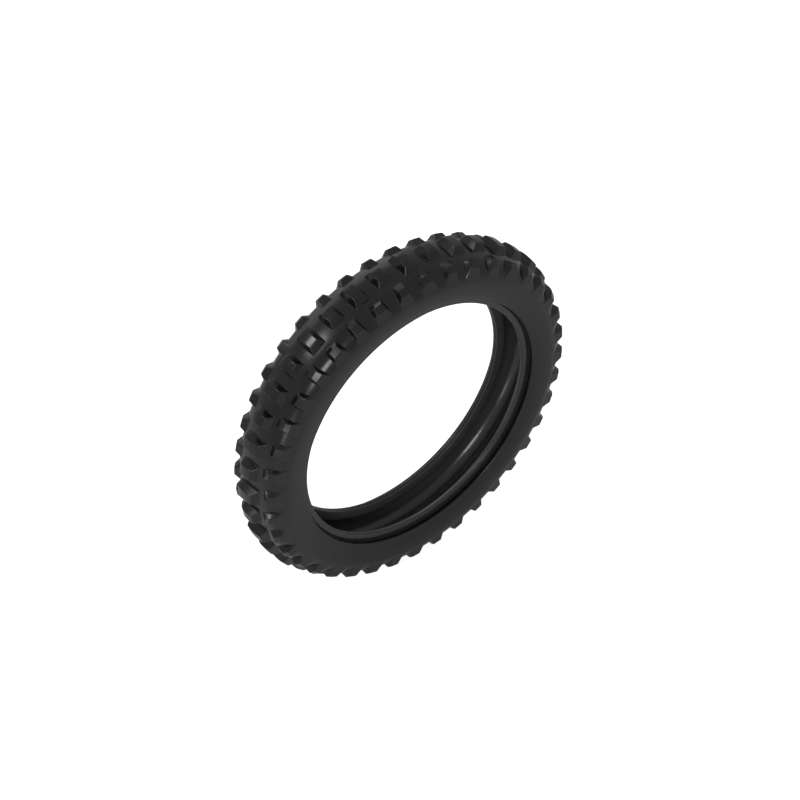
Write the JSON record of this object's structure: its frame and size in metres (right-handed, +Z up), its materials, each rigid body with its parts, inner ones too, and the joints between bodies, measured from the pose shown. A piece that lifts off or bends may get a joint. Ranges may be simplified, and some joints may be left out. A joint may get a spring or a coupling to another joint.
{
  "type": "motorcycle tire",
  "caption": "Off-road motorcycle tire with a wide centre block row, two shoulder knob rows, layered casing and wired beads.",
  "frame": {"origin": "wheel centre, on the wheel axis in the mid-plane of the tire", "axes": "+Y along the wheel axis towards the tire's left side, +Z up through the top of the tread, +X forwards"},
  "size_m": [0.655, 0.1126, 0.655],
  "materials": {
    "tread_rubber": "satin moulded rubber",
    "sidewall_rubber": "satin moulded rubber",
    "liner_rubber": "smooth cured rubber",
    "ply_fabric": "rubberized nylon cord",
    "breaker_fabric": "rubberized nylon cord",
    "chafer_fabric": "rubberized square-woven fabric",
    "filler_rubber": "hard rubber",
    "bead_wire": "bronze-coated drawn wire"
  },
  "bodies": {
    "root": {"centre_tread": "tread_rubber", "tread_base": "tread_rubber", "breaker_outer": "breaker_fabric", "breaker_inner": "breaker_fabric", "body_ply_outer": "ply_fabric", "body_ply_inner": "ply_fabric", "inner_liner": "liner_rubber", "shoulder_tread_left": "tread_rubber", "sidewall_left": "sidewall_rubber", "rim_cushion_left": "sidewall_rubber", "chafer_left": "chafer_fabric", "bead_wrap_left": "chafer_fabric", "bead_core_left": "bead_wire", "bead_filler_left": "filler_rubber", "shoulder_tread_right": "tread_rubber", "sidewall_right": "sidewall_rubber", "rim_cushion_right": "sidewall_rubber", "chafer_right": "chafer_fabric", "bead_wrap_right": "chafer_fabric", "bead_core_right": "bead_wire", "bead_filler_right": "filler_rubber"}
  },
  "joints": []
}
